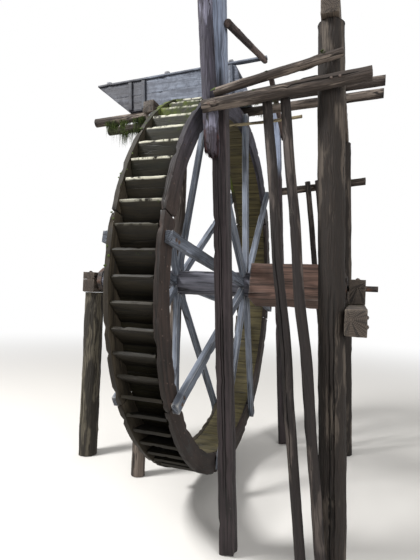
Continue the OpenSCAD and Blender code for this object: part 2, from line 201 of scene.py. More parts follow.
def edge_cells(wood, along, across):
    """Distance to the edges of a net of cells that is drawn out along the grain."""
    inputs = {"Vector": stretched(wood, along, across), "Scale": 1}
    return shade_node("TexVoronoi", inputs, feature="DISTANCE_TO_EDGE").outputs[0]


def timber_grain():
    """Grain of hewn timber: bands, fibres and drying cracks along it, rings and cracks on its ends."""
    tree, given, out = shade_group(
        "timber_grain", dict(Wood=VECTOR, End=VALUE, Dark=COLOUR, Light=COLOUR, Cracks=VALUE),
        dict(Color=COLOUR, Height=VALUE),
    )
    wood = swayed(given["Wood"], 2.2, 0.03)
    bands = streaky(wood, 1.1, 26, detail=6, rough=0.62, bend=0.6)
    fibres = streaky(wood, 5, 230, detail=3)
    patches = cloudy(wood, 3.2, detail=3)
    inputs = {"Vector": wood, "Scale": 26, "Distortion": 1.6, "Detail": 2, "Detail Scale": 0.4}
    rings = shade_node("TexWave", inputs, wave_type="RINGS", rings_direction="X").outputs[1]
    tone = added((bands, 0.85), (fibres, 0.45), (rings, 0.08), (patches, 0.35))
    colour = blended(ramped(tone, 0.62, 1.1), given["Dark"], given["Light"])
    cells = edge_cells(wood, 0.55, 17)
    wander = added((cells, 1.0), (bands, 0.12))
    open_parts = ramped(streaky(wood, 1.6, 9), 0.45, 0.6)
    crack = sums("MULTIPLY", ramped(wander, 0.095, 0.066), open_parts)
    crack = sums("MULTIPLY", crack, given["Cracks"], clamp=True)
    flat = vectors("MULTIPLY", wood, (0, 1, 1))
    reach = vectors("LENGTH", flat, out="Value")
    rays = cloudy(vectors("NORMALIZE", flat), 3.4, rough=0.7)
    star = sums("ABSOLUTE", added((rays, 1.0), (1.0, -0.5)))
    star = sums("MULTIPLY", ramped(star, 0.026, 0.008), ramped(reach, 0.006, 0.03))
    end_tone = added((rings, 0.5), (patches, 0.4), (fibres, 0.3))
    end_dark = blended(0.45, given["Dark"], "#120e0b")
    end_light = blended(0.4, given["Light"], given["Dark"])
    end_colour = blended(ramped(end_tone, 0.35, 0.85), end_dark, end_light)
    colour = blended(given["End"], colour, end_colour)
    crack = mixed(given["End"], crack, star)
    deep = blended(0.8, given["Dark"], "#0a0807")
    tree.links.new(blended(crack, colour, deep), out["Color"])
    tree.links.new(added((bands, 0.6), (fibres, 0.35), (crack, -0.9)), out["Height"])
    return tree


def bark_plates():
    """Old bark in long plates with dark furrows, and bare grey wood with cracks where it has come off."""
    tree, given, out = shade_group(
        "bark_plates", dict(Wood=VECTOR, End=VALUE, Bark=COLOUR, Bare=COLOUR, Bareness=VALUE),
        dict(Color=COLOUR, Height=VALUE),
    )
    wood = swayed(given["Wood"], 3.5, 0.05)
    swirl = streaky(wood, 1.6, 8, detail=5)
    plates = edge_cells(wood, 3.2, 42)
    ridge = ramped(added((plates, 1.0), (swirl, 0.5)), 0.2, 0.55)
    rough = streaky(wood, 24, 110, detail=5)
    dark = blended(0.65, given["Bark"], "#0b0908")
    bark = blended(added((ridge, 0.55), (rough, 0.6)), dark, given["Bark"])
    streaks = streaky(wood, 1.4, 60, detail=6, rough=0.65)
    fibres = streaky(wood, 5, 220, detail=3)
    bare_dark = blended(0.6, given["Bare"], given["Bark"])
    tone = added((streaks, 0.9), (fibres, 0.4))
    bare = blended(ramped(tone, 0.5, 0.85), bare_dark, given["Bare"])
    gaps = edge_cells(wood, 0.7, 21)
    crack = ramped(added((gaps, 1.0), (streaks, 0.1)), 0.085, 0.06)
    bare = blended(crack, bare, "#17120f")
    share = ramped(added((swirl, 1.0), (given["Bareness"], 1.0)), 0.97, 1.05)
    ends = blended(ramped(tone, 0.45, 0.9), dark, bare_dark)
    colour = blended(given["End"], blended(share, bark, bare), ends)
    tree.links.new(colour, out["Color"])
    bark_height = added((ridge, 0.7), (rough, 0.45))
    bare_height = added((streaks, 0.5), (fibres, 0.2), (share, -0.1), (crack, -0.6))
    tree.links.new(mixed(share, bark_height, bare_height), out["Height"])
    return tree


def edge_wear():
    """Rubbed and bleached edges, and darker hollows, found from how the surface turns."""
    tree, given, out = shade_group(
        "edge_wear", dict(Color=COLOUR, Worn=COLOUR, Amount=VALUE),
        dict(Color=COLOUR, Mask=VALUE),
    )
    turn = shade_node("NewGeometry", {}, tree).outputs["Pointiness"]
    edges = sums("MULTIPLY", ramped(turn, 0.515, 0.60), given["Amount"], clamp=True)
    hollows = ramped(turn, 0.49, 0.42)
    # Darker in the hollows, up to a share of 0.6 towards near-black.
    darker_hollows = blended(added((hollows, 0.6)), given["Color"], "#0d0b09")
    tree.links.new(blended(edges, darker_hollows, given["Worn"]), out["Color"])
    tree.links.new(edges, out["Mask"])
    return tree


def moss_cover():
    """Moss and green slime in patches; Amount 0 has none and 1 covers nearly all."""
    tree, given, out = shade_group(
        "moss_cover", dict(Place=VECTOR, Color=COLOUR, Height=VALUE, Amount=VALUE),
        dict(Color=COLOUR, Height=VALUE, Mask=VALUE),
    )
    place = given["Place"]
    wide = cloudy(place, 2.3, detail=3)
    fine = cloudy(place, 21, detail=5, rough=0.65)
    felt = cloudy(place, 130, detail=3)
    field = added((wide, 0.62), (fine, 0.38), (given["Amount"], 0.55))
    mask = ramped(field, 0.74, 0.88)
    greens = blended(ramped(felt, 0.3, 0.7), "#151b0b", "#3d481f")
    greens = blended(ramped(wide, 0.5, 0.75), greens, "#565f29")
    film = ramped(field, 0.5, 0.86, 0.0, 0.4)
    slimy = blended(film, given["Color"], "#1f2312")
    tree.links.new(blended(mask, slimy, greens), out["Color"])
    lift = sums("MULTIPLY", mask, added((felt, 0.9), (fine, 0.5)))
    tree.links.new(added((given["Height"], 1.0), (lift, 1.0)), out["Height"])
    tree.links.new(mask, out["Mask"])
    return tree


def lichen_spots():
    """Small pale crusts of lichen, in groups."""
    tree, given, out = shade_group(
        "lichen_spots", dict(Place=VECTOR, Color=COLOUR, Amount=VALUE),
        dict(Color=COLOUR),
    )
    crumbs = cloudy(given["Place"], 95, detail=5, rough=0.75)
    crusts = cloudy(swayed(given["Place"], 40, 0.03), 26, rough=0.6)
    groups = cloudy(given["Place"], 4.5)
    field = added((crusts, 0.5), (crumbs, 0.3), (groups, 0.5), (given["Amount"], 0.2))
    share = ramped(field, 0.78, 0.84, 0.0, 0.45)
    tree.links.new(blended(share, given["Color"], "#7d8174"), out["Color"])
    return tree


GRAIN = timber_grain()
BARK = bark_plates()
WEAR = edge_wear()
MOSS = moss_cover()
LICHEN = lichen_spots()


def use_group(group, **inputs):
    return shade_node("Group", inputs, node_tree=group).outputs


def bare_material(name):
    """A material with nothing in it yet, its Principled shader and its object coordinates."""
    made = bpy.data.materials.new(name)
    made.use_nodes = True
    shader = made.node_tree.nodes["Principled BSDF"]
    return made, shader, shade_node("TexCoord", {}, made.node_tree).outputs["Object"]


def finish_surface(shader, colour, height, rough, bump, distance=0.004, gleam=0.3):
    """Feeds the shader: colour, roughness, how much it mirrors and a bump of the given strength."""
    shader.inputs["Specular IOR Level"].default_value = gleam
    tree = shader.id_data
    tree.links.new(colour, shader.inputs["Base Color"])
    tree.links.new(rough, shader.inputs["Roughness"])
    inputs = {"Strength": bump, "Distance": distance, "Height": height}
    tree.links.new(shade_node("Bump", inputs).outputs[0], shader.inputs["Normal"])


def in_wood(tree):
    """What the wood groups take: the place in its own piece of wood, and whether that is on an end."""
    wood = shade_node("Attribute", {}, tree, attribute_name="wood")
    end = shade_node("Attribute", {}, tree, attribute_name="end_grain")
    return {"Wood": wood.outputs["Vector"], "End": end.outputs["Fac"]}


def over_moss(place, colour, height, moss, high_moss, top_moss, lichen):
    """Lays lichen and moss over a colour: high_moss grows high on the wheel, top_moss on what faces up."""
    high = ramped(axes(place)[2], HUB.z - 0.2, HUB.z + 0.8 * WHEEL_R)
    upward = ramped(axes(place.node.outputs["Normal"])[2], 0.3, 0.9)
    amount = added((high, high_moss), (upward, top_moss), (1.0, moss))
    spotted = use_group(LICHEN, Place=place, Color=colour, Amount=lichen)["Color"]
    return use_group(MOSS, Place=place, Color=spotted, Height=height, Amount=amount)


def from_hub(place):
    """Distance from the axle's line."""
    off = vectors("SUBTRACT", place, tuple(HUB))
    flat = vectors("MULTIPLY", off, (1, 0, 1))
    return vectors("LENGTH", flat, out="Value")


def timber(name, dark, light, worn, cracks, wear, moss, high_moss=0.0, top_moss=0.0, wet=0.0, other=None,
           rim=None, low_dark=0.0, lips=None, lichen=-1.0, blotches=0.0):
    """Weathered timber. other gives a second pair of colours past a place on an axis. rim darkens what lies
    past a radius of the wheel, damp darkens what is low, and blotches small patches. lips is the colour
    of the outer edges of the boards high on the wheel: pale lichen-crusted wood brightened by a painted
    sunlit highlight."""
    made, shader, place = bare_material(name)
    spots = axes(place)
    if other:
        axis, low, high, other_dark, other_light = other
        share = ramped(spots[axis], low, high)
        dark = blended(share, dark, other_dark)
        light = blended(share, light, other_light)
    grain = use_group(GRAIN, Dark=dark, Light=light, Cracks=cracks, **in_wood(made.node_tree))
    edged = use_group(WEAR, Color=grain["Color"], Worn=worn, Amount=wear)
    colour = edged["Color"]
    if blotches:
        field = cloudy(place, 15, detail=6, rough=0.72)
        colour = blended(ramped(field, 0.45, 0.6, 0.0, blotches), colour, dark)
    # Darker past a radius of the wheel: soaked, dirty wood with painted shade on the rings' outer edges, and
    # painted shade on the sole's back, behind the bucket boards.
    if rim:
        share, inner, outer = rim
        edge = ramped(from_hub(place), inner, outer, 0.0, share)
        colour = blended(edge, colour, SOAKED_AND_SHADE)
    # Darker towards the bottom, the more the lower it lies.
    if low_dark:
        colour = blended(ramped(spots[2], 3.7, 0.5, 0.0, low_dark), colour, SOAKED_AND_SHADE)
    # Painted sunlit highlight, on pale lichen-crusted wood, along the outer edges of the boards high on the
    # wheel.
    if lips:
        streaks = ramped(cloudy(place, 16, detail=3), 0.35, 0.5)
        high = sums("MULTIPLY", ramped(spots[2], HUB.z + 0.3, HUB.z + 0.9), streaks)
        edge = ramped(from_hub(place), WHEEL_R - 0.024, WHEEL_R - 0.014)
        colour = blended(sums("MULTIPLY", edge, high), colour, lips)
    cover = over_moss(place, colour, grain["Height"], moss, high_moss, top_moss, lichen)
    wood_rough = added((grain["Height"], 0.25), (1.0, 0.62 - wet))
    rough = mixed(cover["Mask"], wood_rough, 0.95)
    finish_surface(shader, cover["Color"], cover["Height"], rough, 0.8)
    return made


def barked(name, bark, bare, bareness, moss, top_moss=0.0, bump=1.0, rot=None):
    """A round log with bark on it, mostly bare where bareness is high. rot is the height of a rotten end."""
    made, shader, place = bare_material(name)
    plates = use_group(BARK, Bark=bark, Bare=bare, Bareness=bareness, **in_wood(made.node_tree))
    edged = use_group(WEAR, Color=plates["Color"], Worn=bare, Amount=0.3)
    colour = edged["Color"]
    if rot:
        ragged = added((axes(place)[2], 1.0), (cloudy(place, 18), -0.35))
        red = blended(ramped(plates["Height"], 0.2, 0.7), "#1c0f10", "#4d2e2b")
        colour = blended(ramped(ragged, rot, rot - 0.12, 0.0, 0.8), colour, red)
    cover = over_moss(place, colour, plates["Height"], moss, 0.0, top_moss, -0.1)
    rough = added((plates["Height"], 0.1), (1.0, 0.8))
    finish_surface(shader, cover["Color"], cover["Height"], rough, bump, distance=0.006)
    return made


def rusty_iron(name):
    """Old iron: dark scale with brown and orange rust in blooms and pits."""
    made, shader, place = bare_material(name)
    wide = cloudy(place, 9, detail=5)
    fine = cloudy(place, 90, detail=5, rough=0.7)
    rust = blended(ramped(fine, 0.35, 0.65), "#26180f", "#583823")
    blooms = ramped(added((wide, 0.7), (fine, 0.3)), 0.47, 0.6)
    colour = blended(blooms, "#1e1b1a", rust)
    edged = use_group(WEAR, Color=colour, Worn="#5e5049", Amount=0.6)
    made.node_tree.links.new(ramped(wide, 0.5, 0.4, 0.1, 0.65), shader.inputs["Metallic"])
    rough = added((fine, 0.4), (1.0, 0.45))
    finish_surface(shader, edged["Color"], fine, rough, 0.5, distance=0.002, gleam=0.5)
    return made


def soft_moss(name):
    """Tufts and hanging threads of moss, darker at places."""
    made, shader, place = bare_material(name)
    tone = cloudy(place, 14, detail=3)
    felt = cloudy(place, 160, detail=2)
    colour = blended(ramped(tone, 0.35, 0.65), "#161d0c", "#3f4c22")
    colour = blended(ramped(felt, 0.5, 0.75), colour, "#5c6a30")
    finish_surface(shader, colour, felt, added((tone, 0.1), (1.0, 0.88)), 0.6)
    return made


# Near-black for soaked wood and for painted shade: its colour, and how far the rings' edges (soaked, dirty
# wood with painted shade) and the sole's back (painted shade behind the bucket boards) go towards it, past
# which radii
SOAKED_AND_SHADE = "#0e0b08"
RING_EDGE = (0.55, WHEEL_R - 0.016, WHEEL_R - 0.006)
SOLE_BACK_SHADE = (0.8, WHEEL_R - RING_DEPTH + 0.006, WHEEL_R - RING_DEPTH + 0.020)

# The near ring's upper part turns blue-grey: painted skylight over drier weathered wood.
RING_WOOD = timber("ring_wood", "#140f0d", "#40342f", "#5b504b", cracks=0.8, wear=0.35, moss=-0.25,
                   high_moss=0.08, rim=RING_EDGE, low_dark=0.3,
                   other=(2, HUB.z + 0.5, HUB.z + 1.5, "#1a191d", "#4f4c57"))
FAR_RING_WOOD = timber("far_ring_wood", "#171209", "#463e32", "#66604f", cracks=0.7, wear=0.3, moss=-0.1,
                       high_moss=0.5, rim=RING_EDGE, low_dark=0.3)
BUCKET_WOOD = timber("bucket_wood", "#0c0a06", "#241e12", "#423d2c", cracks=0.5, wear=0.3, moss=-0.05,
                     high_moss=0.5, wet=0.1, low_dark=0.3, lips="#dedbc8")
SOLE_WOOD = timber("sole_wood", "#231e0e", "#574f32", "#6a644b", cracks=0.35, wear=0.2, moss=0.0, wet=0.05,
                   rim=SOLE_BACK_SHADE)
SPOKE_WOOD = timber("spoke_wood", "#373b42", "#7f8693", "#c2bfb9", cracks=0.8, wear=0.7, moss=-0.5)
AXLE_WOOD = timber("axle_wood", "#303036", "#72727c", "#a8a39f", cracks=1.0, wear=0.5, moss=-0.4,
                   other=(1, BUTT_START + 0.01, BUTT_START - 0.02, "#2c201a", "#6b5349"))
# The posts' tops turn pale blue-grey: weathered silver-grey wood with painted skylight on it.
POST_WOOD = timber("post_wood", "#1a1517", "#433a3c", "#655c5a", cracks=1.0, wear=0.5, moss=-0.35,
                   low_dark=0.35, lichen=-0.2, other=(2, 3.72, 3.98, "#444954", "#929cb1"))
BEAM_WOOD = timber("beam_wood", "#28221e", "#5f544a", "#857a6e", cracks=1.0, wear=0.5, moss=-0.35,
                   top_moss=0.35, lichen=-0.2)
# The flume's boards are weathered silver-grey with a painted blue skylight tint.
FLUME_WOOD = timber("flume_wood", "#484a52", "#8e939f", "#b0b0b1", cracks=0.8, wear=0.6, moss=-0.2,
                    blotches=0.3)
WET_FLUME_WOOD = timber("wet_flume_wood", "#353944", "#707784", "#86888c", cracks=0.5, wear=0.4, moss=-0.02,
                        wet=0.1, blotches=0.6, other=(1, 0.85, 1.15, "#201f26", "#4a4c53"))
ROTTEN_WOOD = barked("rotten_wood", "#413e48", "#7c7b8b", 0.46, moss=-0.3, rot=3.31)
BARKED_WOOD = barked("barked_wood", "#3f3732", "#786d64", 0.47, moss=-0.25, top_moss=0.35)
PROP_WOOD = barked("prop_wood", "#231e1d", "#524a45", 0.42, moss=-0.3)
TALL_WOOD = barked("tall_wood", "#28221e", "#524a42", 0.44, moss=-0.15)
STUMP_WOOD = barked("stump_wood", "#332f29", "#5f594c", 0.5, moss=-0.05)
BARE_POLE = barked("bare_pole", "#3a2f2e", "#6f5f59", 0.56, moss=-0.4, bump=0.7)
RAIL_WOOD = barked("rail_wood", "#4a4133", "#a39678", 0.58, moss=-0.15, bump=0.7)
OLD_IRON = rusty_iron("old_iron")
MOSS_THREADS = soft_moss("moss_threads")


# Meshes

def copied(node):
    """A copy of a frame node's mesh, with its points merged and its flat faces whole."""
    bm = bmesh.new()
    bm.from_mesh(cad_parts[node].data)
    bmesh.ops.remove_doubles(bm, verts=bm.verts, dist=MERGE)
    bmesh.ops.dissolve_limit(bm, angle_limit=FLAT, verts=bm.verts, edges=bm.edges)
    return bm


def loose_parts(bm):
    """Splits a mesh into its separate solids, each a mesh of its own."""
    bm.verts.index_update()
    part_of = {}
    count = 0
    for start in bm.verts:
        if start in part_of:
            continue
        group = [start]
        part_of[start] = count
        for v in group:
            for e in v.link_edges:
                other = e.other_vert(v)
                if other not in part_of:
                    part_of[other] = count
                    group.append(other)
        count += 1
    parts = []
    for i in range(count):
        part = bm.copy()
        part.verts.ensure_lookup_table()
        others = [part.verts[v.index] for v in bm.verts if part_of[v] != i]
        bmesh.ops.delete(part, geom=others, context="VERTS")
        parts.append(part)
    bm.free()
    return parts


def from_line(place):
    """Distance from the axle's line."""
    return math.hypot(place.x, place.z - HUB.z)


def middle(bm):
    """The mean of a mesh's points."""
    return sum((v.co for v in bm.verts), Vector()) / len(bm.verts)


def extent(bm, along):
    """How far a mesh reaches back and forth in a direction."""
    reach = [v.co.dot(along) for v in bm.verts]
    return min(reach), max(reach)


def long_axis(bm):
    """The direction in which a solid is longest."""
    centre = middle(bm)
    axis = Vector((0.31, 0.52, 0.79))
    for _ in range(30):
        total = Vector()
        for v in bm.verts:
            p = v.co - centre
            total += p * p.dot(axis)
        axis = total.normalized()
    return axis


def cut_through(bm, place, normal, **options):
    """Cuts a mesh along a plane."""
    geom = bm.verts[:] + bm.edges[:] + bm.faces[:]
    bmesh.ops.bisect_plane(bm, geom=geom, dist=MERGE, plane_co=place, plane_no=normal, **options)


def sawn(bm, place, normal):
    """Saws a solid in two across the normal, with a thin joint between the halves."""
    halves = []
    for side in (-1, 1):
        half = bm.copy()
        cut_through(half, place + normal * side * JOINT_GAP / 2, normal * side, clear_inner=True)
        rim = [e for e in half.edges if len(e.link_faces) == 1]
        bmesh.ops.holes_fill(half, edges=rim, sides=0)
        if half.faces:
            halves.append(half)
        else:
            half.free()
    bm.free()
    return halves


def sharp_edges(bm, angle):
    """The edges at which the surface turns by more than the angle."""
    return [e for e in bm.edges if len(e.link_faces) == 2 and e.calc_face_angle() > angle]


def eased(bm, width):
    """Takes the sharp edges off."""
    bmesh.ops.bevel(
        bm, geom=sharp_edges(bm, SHARP), offset=width, offset_type="OFFSET", affect="EDGES",
        segments=2, profile=0.5, material=-1, clamp_overlap=True,
    )


def sliced(bm, normal, spacing):
    """Cuts a solid's faces with planes across the normal, one every spacing, so that they can bend."""
    low, high = extent(bm, normal)
    count = max(1, round((high - low) / spacing))
    for i in range(1, count):
        cut_through(bm, normal * (low + (high - low) * i / count), normal)


def side_ways(along):
    """Two directions square to the given one."""
    first = along.cross(ALONG_Z if abs(along.z) < 0.7 else ALONG_X).normalized()
    return first, along.cross(first).normalized()


def wood_layers(bm):
    """The layers that in_wood reads."""
    return bm.verts.layers.float_vector.new("wood"), bm.verts.layers.float.new("end_grain")


def mark_wood(bm, along, pith, rng):
    """Writes each point's place in its own piece of wood, along the grain and across it, and marks ends."""
    layer, end = wood_layers(bm)
    for v in bm.verts:
        v[end] = 1.0 if any(abs(f.normal.dot(along)) > 0.8 for f in v.link_faces) else 0.0
    a, b = side_ways(along)
    centre = middle(bm)
    turn = rng.uniform(0, 2 * math.pi)
    shift = Vector((rng.uniform(-9, 9), pith * math.cos(turn), pith * math.sin(turn)))
    for v in bm.verts:
        p = v.co - centre
        v[layer] = Vector((p.dot(along), p.dot(a), p.dot(b))) + shift


def mark_curved_wood(bm, rng):
    """The same for a ring segment, whose grain follows the ring."""
    layer, end = wood_layers(bm)
    centre = middle(bm) - HUB
    mid_turn = math.atan2(centre.z, centre.x)
    shift = Vector((rng.uniform(-9, 9), rng.uniform(0.1, 0.3), rng.uniform(-0.1, 0.1)))
    turns = []
    for v in bm.verts:
        p = v.co - HUB
        turn = math.atan2(p.z, p.x) - mid_turn
        turn = (turn + math.pi) % (2 * math.pi) - math.pi
        turns.append(turn)
        v[layer] = Vector((turn * WHEEL_R, from_line(v.co) - WHEEL_R + RING_DEPTH, p.y)) + shift
    widest = max(turns) - 0.003
    for v, turn in zip(bm.verts, turns):
        v[end] = 1.0 if abs(turn) > widest else 0.0


def hewn(bm, rng, along, hollow, grain=(3.0, 16.0), knots=0):
    """Axe marks and weather: pushes the surface in by up to hollow, in strokes that follow the grain.
    Around knots the surface stays where it is, so that they stand out."""
    bm.normal_update()
    shift = Vector([rng.uniform(-50, 50) for _ in range(3)])
    a, b = side_ways(along)
    proud = [(rng.choice(bm.verts[:]).co.copy(), rng.uniform(0.04, 0.08)) for _ in range(knots)]
    moves = []
    for v in bm.verts:
        p = v.co
        q = Vector((p.dot(along) * grain[0], p.dot(a) * grain[1], p.dot(b) * grain[1])) + shift
        depth = 0.5 + 0.5 * noise.fractal(q, 0.9, 2.0, 4)
        depth += 0.25 * noise.noise(q * 3.7)
        depth = min(1.0, max(0.0, depth))
        for place, size in proud:
            depth = min(depth, ((p - place).length / size) ** 2)
        moves.append(-v.normal * hollow * depth)
    for v, move in zip(bm.verts, moves):
        v.co += move


def cracked(bm, rng, along, face, depth):
    """A drying crack: a narrow groove along one face of a timber, which wanders a little."""
    width = 0.003
    across = along.cross(face).normalized()
    low, high = extent(bm, along)
    start = low + (high - low) * rng.uniform(0.0, 0.35)
    end = min(high, start + (high - low) * rng.uniform(0.3, 0.6))
    left, right = extent(bm, across)
    at = left + (right - left) * rng.uniform(0.3, 0.7)
    for shift in (-width, 0.0, width):
        cut_through(bm, across * (at + shift), across)
    centre = middle(bm).dot(face)
    for v in bm.verts:
        off = v.co.dot(across) - at
        run = v.co.dot(along)
        t = (run - start) / (end - start)
        if abs(off) > width * 1.1 or v.co.dot(face) < centre or not 0 < t < 1:
            continue
        v.co += across * width * 2.5 * noise.noise(Vector((run * 5, at * 40, 0)))
        if abs(off) < width * 0.1:
            v.co -= face * depth * math.sqrt(math.sin(math.pi * t))


def splintered(bm, rng, along, depth):
    """A broken end at the low end of a log: long splinters, torn deeper at some places round it."""
    reach = 0.30
    low = extent(bm, along)[0]
    a, b = side_ways(along)
    centre = middle(bm)
    shift = rng.uniform(0, 20)
    for v in bm.verts:
        near = 1 - (v.co.dot(along) - low) / reach
        if near <= 0:
            continue
        p = v.co - centre
        turn = math.atan2(p.dot(b), p.dot(a))
        q = Vector((math.cos(turn) * 3.5 + shift, math.sin(turn) * 3.5, 0))
        torn = abs(noise.noise(q)) * 1.3 + abs(noise.noise(q * 3.1)) * 0.7
        v.co += along * depth * min(1.0, torn) * near ** 1.5


def bitten(bm, rng, count, radius, depth):
    """Chips and rot along the edges: points near a few places on sharp edges sink towards the middle."""
    edges = sharp_edges(bm, SHARP / 2)
    if not edges:
        return
    bites = []
    for _ in range(count):
        e = edges[rng.randrange(len(edges))]
        inward = -(e.link_faces[0].normal + e.link_faces[1].normal).normalized()
        reach = radius * rng.uniform(0.5, 1.3)
        bites.append((e.verts[0].co.copy(), inward, reach, depth * rng.uniform(0.3, 1.0)))
    for v in bm.verts:
        for place, inward, reach, sink in bites:
            far = (v.co - place).length
            if far < reach:
                near = 1 - far / reach
                v.co += inward * sink * near * near * (3 - 2 * near)


def bowed(bm, rng, along, size):
    """Bends a long piece a little, as a grown stem is; its ends move least."""
    wave = 0.7
    low, high = extent(bm, along)
    a, b = side_ways(along)
    shift = rng.uniform(-50, 50)
    for v in bm.verts:
        t = (v.co.dot(along) - low) / (high - low)
        hold = math.sin(math.pi * t)
        q = Vector((t * (high - low) / wave, shift, 0))
        v.co += hold * size * (a * noise.noise(q) + b * noise.noise(q + Vector((0, 0, 17))))


def as_mesh(bm, name):
    """Makes a mesh of a bmesh and frees it."""
    mesh = bpy.data.meshes.new(name)
    bm.to_mesh(mesh)
    bm.free()
    return mesh


def placed(name, data):
    """An object in the scene that holds the data."""
    made = bpy.data.objects.new(name, data)
    bpy.context.scene.collection.objects.link(made)
    return made


def joined(parts, name, body, material, node=None):
    """Joins finished meshes into one piece that rides a body, and stands for a node where one is named."""
    bm = bmesh.new()
    for part in parts:
        mesh = as_mesh(part, name)
        bm.from_mesh(mesh)
        bpy.data.meshes.remove(mesh)
    bm.normal_update()
    for f in bm.faces:
        f.smooth = True
    for e in bm.edges:
        e.smooth = len(e.link_faces) == 2 and e.calc_face_angle() < SHARP
    mesh = as_mesh(bm, name)
    mesh.materials.append(material)
    piece = placed(name, mesh)
    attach(piece, body)
    if node:
        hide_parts(node)


def timbers(node, body, material, slot, along=None, step=0.04, across=0.03, ease=0.006, hollow=0.003,
            pith=0.08, bow=0.0, chips=0, chip=0.03, chip_depth=0.012, grain=(3.0, 16.0), knots=0,
            splits=0, split_depth=0.014, saws=(), torn=0.0):
    """One node's timbers, hewn. along is their grain, or each solid's longest direction. saws are the places
    and directions of the joints between the boards that a solid is made of, and these stay shut."""
    rng = random.Random(node)
    solids = loose_parts(copied(node))
    for place, normal in saws:
        solids = [half for solid in solids for half in sawn(solid, place, normal)]
    done = []
    for part in solids:
        run = along or long_axis(part)
        sides = side_ways(run)
        eased(part, ease)
        sliced(part, run, step)
        for side in sides:
            sliced(part, side, across)
        mark_wood(part, run, pith, rng)
        held = [(v, v.co.copy(), normal) for place, normal in saws
                for v in part.verts if abs((v.co - place).dot(normal)) < JOINT_GAP]
        for i in range(splits):
            face = sides[i % 2] * rng.choice((-1, 1))
            cracked(part, rng, run, face, depth=split_depth)
        bitten(part, rng, chips, chip, chip_depth)
        hewn(part, rng, run, hollow, grain, knots=knots)
        if torn:
            splintered(part, rng, run if run.z > 0 else -run, torn)
        if bow:
            bowed(part, rng, run, bow)
        for v, place, normal in held:
            v.co += normal * (place - v.co).dot(normal)
        done.append(part)
    joined(done, node + "_wood", body, material, node)


def ring(node, material):
    """A timber ring: eight hewn segments, each sliced on the radius and across it. Where the sole is seated
    between the rings, the surface stays as it is."""
    rng = random.Random(node)
    low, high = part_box(node)
    inward = 1 if node == "near_ring" else -1
    inner_y = high.y if node == "near_ring" else low.y
    seat_r = WHEEL_R - RING_DEPTH + 0.045
    done = []
    for part in loose_parts(copied(node)):
        out = middle(part) - HUB
        out.y = 0
        out.normalize()
        tangent = out.cross(ALONG_Y).normalized()
        eased(part, 0.006)
        for i in range(-14, 15):
            cut_through(part, HUB, Matrix.Rotation(math.radians(1.5 * i), 3, ALONG_Y) @ tangent)
        sliced(part, out, 0.03)
        sliced(part, ALONG_Y, 0.017)
        mark_curved_wood(part, rng)
        seats = [(v, v.co.copy()) for v in part.verts
                 if from_line(v.co) < seat_r and (v.co.y - inner_y) * inward > -0.004]
        bitten(part, rng, 26, 0.06, 0.018)
        hewn(part, rng, tangent, 0.009, grain=(3.5, 11.0))
        for v, place in seats:
            v.co = place
        done.append(part)
    joined(done, node + "_wood", "wheel", material, node)


def round_part(bm, foot, axis, radius, length, segments, taper=1.0, turn=0.0):
    """A disc, rod or block that stands on its foot along the axis."""
    place = Matrix.Translation(foot + axis * length / 2) @ axis.to_track_quat("Z", "Y").to_matrix().to_4x4()
    bmesh.ops.create_cone(
        bm, cap_ends=True, segments=segments, radius1=radius, radius2=radius * taper, depth=length,
        matrix=place @ Matrix.Rotation(turn, 4, "Z"),
    )


def bolt(bm, foot, axis, rng, size):
    """A washer, a square nut and the end of a bolt."""
    turn = rng.uniform(0, 1.5)
    round_part(bm, foot, axis, 0.024 * size, 0.003 * size, 18)
    round_part(bm, foot + axis * 0.003 * size, axis, 0.016 * size, 0.008 * size, 4, 0.94, turn)
    round_part(bm, foot + axis * 0.011 * size, axis, 0.007 * size, 0.004 * size, 10, 0.8)


def nail(bm, foot, axis, rng, radius=0.007):
    """A hand-made nail's head, a little askew."""
    askew = Vector([rng.uniform(-0.12, 0.12) for _ in range(3)])
    round_part(bm, foot, (axis + askew).normalized(), radius * rng.uniform(0.85, 1.1), 0.004, 7, 0.7)


def from_axle(angle, r, y):
    return HUB + Vector((math.cos(angle) * r, y, math.sin(angle) * r))


def spoke_angles(node):
    """Angles of a node's spokes about the axle."""
    found = []
    for part in loose_parts(copied(node)):
        off = middle(part) - HUB
        found.append(math.atan2(off.z, off.x))
        part.free()
    return found


def wheel_iron():
    """Bolts through spokes and rings, and the nails that hold the bucket boards between the rings."""
    rng = random.Random(31)
    near_y = RING_LOW.y - SPOKE_T + 0.002
    far_y = FAR_RING_HIGH.y + SPOKE_T - 0.002
    bm = bmesh.new()
    for node, y, axis in (("near_spokes", near_y, -ALONG_Y), ("far_spokes", far_y, ALONG_Y)):
        for angle in spoke_angles(node):
            for share in (0.915, 0.942):
                place = from_axle(angle + rng.uniform(-0.006, 0.006), WHEEL_R * share, y)
                bolt(bm, place, axis, rng, 0.72)
    joined([bm], "spoke_bolts", "wheel", OLD_IRON)
    bm = bmesh.new()
    for bay in range(1, BAY_COUNT + 1):
        for part in loose_parts(copied(f"buckets_{bay}")):
            edges = sorted((from_line(v.co), v.co.x, v.co.z) for v in part.verts)
            root = Vector((edges[0][1], 0, edges[0][2]))
            lip = Vector((edges[-1][1], 0, edges[-1][2]))
            part.free()
            for share in (0.25, 0.72):
                spot = root.lerp(lip, share + rng.uniform(-0.05, 0.05))
                for y, axis in ((RING_LOW.y + 0.002, -ALONG_Y), (FAR_RING_HIGH.y - 0.002, ALONG_Y)):
                    if rng.random() < 0.85:
                        nail(bm, Vector((spot.x, y, spot.z)), axis, rng)
    joined([bm], "bucket_nails", "wheel", OLD_IRON)


